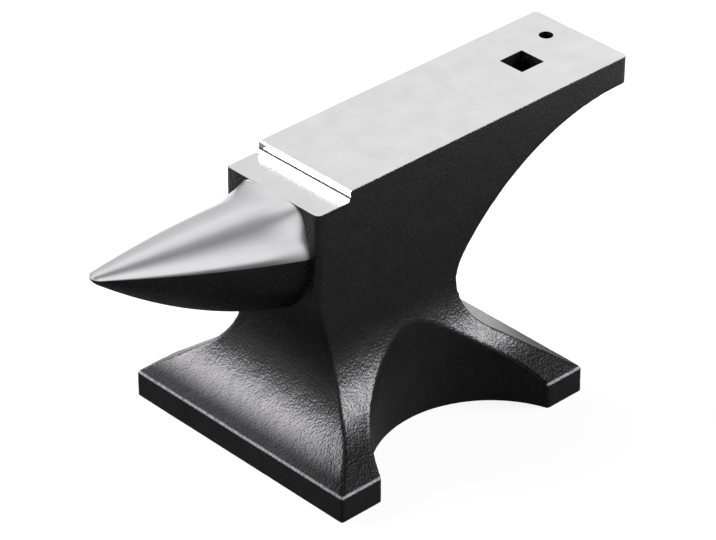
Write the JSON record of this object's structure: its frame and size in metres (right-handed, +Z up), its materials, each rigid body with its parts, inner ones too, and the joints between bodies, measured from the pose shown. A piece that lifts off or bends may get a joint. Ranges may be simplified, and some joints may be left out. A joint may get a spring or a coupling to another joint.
{
  "type": "single horn anvil",
  "caption": "Single horn anvil with a stepped table, a flat face over a tapered heel, a square hardy hole, a round pritchel hole and a spreading base hollowed at its sides.",
  "frame": {"origin": "centre of the flat underside of the base, on the floor", "axes": "+X towards the heel, -X towards the horn, +Z up out of the face, -Y towards the side that the picture shows"},
  "size_m": [0.431, 0.2, 0.197],
  "materials": {
    "black_paint": "satin black paint over a cast grain",
    "ground_steel": "ground flat, fine grinding marks",
    "table_steel": "ground on top, painted black on its sides and front",
    "horn_steel": "polished above its widest line, painted black below"
  },
  "bodies": {
    "root": {"core_body": "black_paint", "front_left_foot": "black_paint", "front_right_foot": "black_paint", "rear_left_foot": "black_paint", "rear_right_foot": "black_paint", "table": "table_steel", "horn": "horn_steel", "heel": "black_paint", "face_plate": "ground_steel"}
  },
  "joints": []
}
